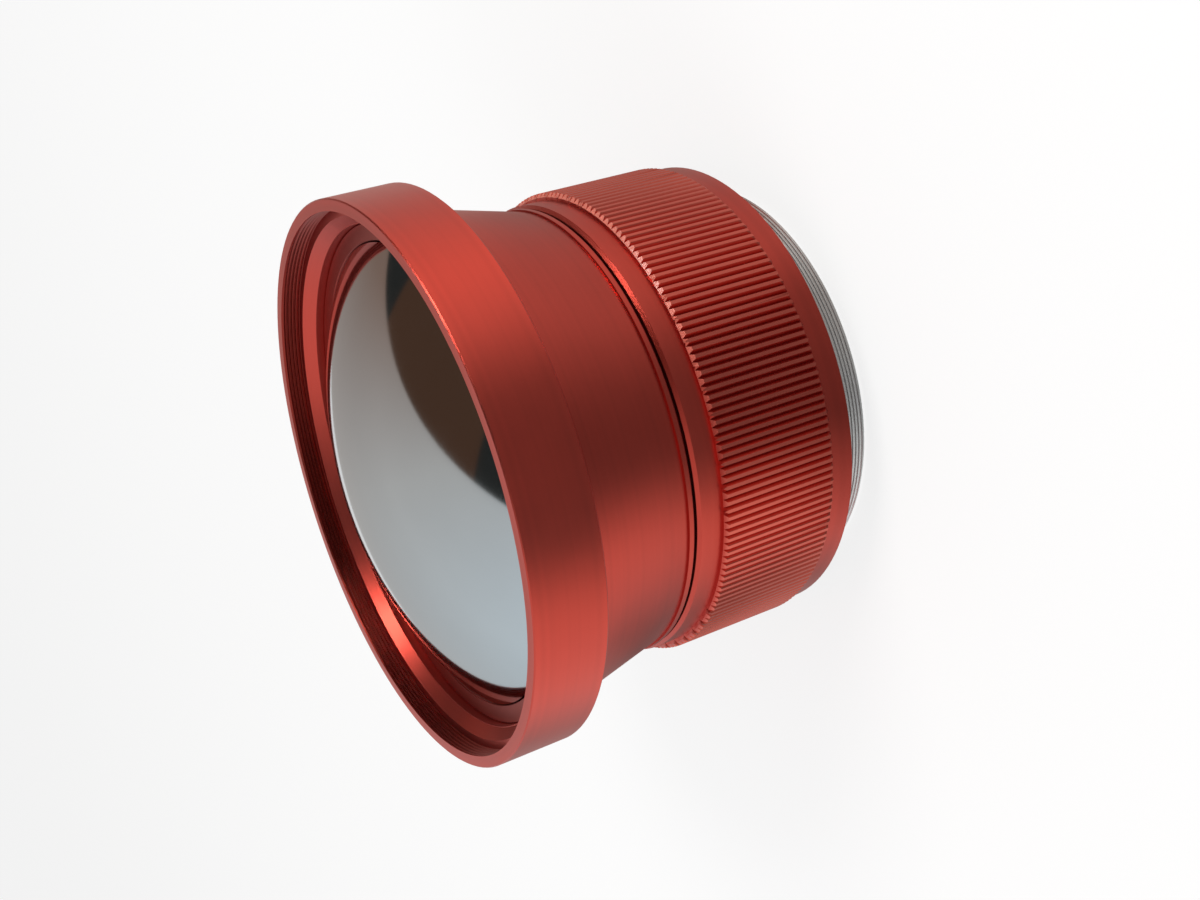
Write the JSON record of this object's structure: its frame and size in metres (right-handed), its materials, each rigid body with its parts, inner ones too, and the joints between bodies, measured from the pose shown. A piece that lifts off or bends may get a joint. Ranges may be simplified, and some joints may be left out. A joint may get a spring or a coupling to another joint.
{
  "type": "terahertz objective lens",
  "caption": "Objective lens for terahertz imaging: bulging opaque front lens in a wide threaded flange, tapered barrel, knurled focus ring and a threaded rear mount",
  "frame": {"origin": "centre of the rear face of the mount ring, on the optical axis", "axes": "+Z along the optical axis from the camera mount towards the front element; X and Y span the mount's rear face"},
  "size_m": [0.0724, 0.0724, 0.057],
  "materials": {
    "red_anodised": "satin red anodised",
    "bare_aluminium": "natural anodised, turned",
    "black_anodised": "matte black anodised",
    "silicon": "polished, opaque grey",
    "steel": "plain stainless",
    "polymer": "plain white, low friction",
    "rubber": "matte black",
    "felt": "black felt"
  },
  "bodies": {
    "mount": {"mount_ring": "bare_aluminium", "bearing_plate": "black_anodised", "guide_pins": "steel", "mount_screws": "steel"},
    "focus": {"focus_ring": "red_anodised", "front_thrust_washer": "polymer", "rear_thrust_washer": "polymer", "focus_ring_retainer": "black_anodised", "dust_seal": "felt", "stop_screw": "steel"},
    "barrel": {"front_barrel": "red_anodised", "helicoid_tube": "black_anodised", "front_lens": "silicon", "front_lens_shim": "polymer", "front_lens_o_ring": "rubber", "front_retaining_ring": "red_anodised", "aperture_stop": "black_anodised", "stop_snap_ring": "steel", "rear_lens": "silicon", "rear_lens_o_ring": "rubber", "rear_retaining_ring": "black_anodised"}
  },
  "joints": [
    {"name": "focus_turn", "type": "hinge", "parent": "mount", "child": "focus", "pos_m": [0, 0, 0.0166], "axis": [0, 0, -1], "range_deg": [0, 270]},
    {"name": "barrel_slide", "type": "slide", "parent": "mount", "child": "barrel", "axis": [0, 0, 1], "range_m": [0, 0.003]}
  ],
  "couplings": [
    {"joint": "barrel_slide", "follows": "focus_turn", "m_per_rad": 0.0006366}
  ]
}
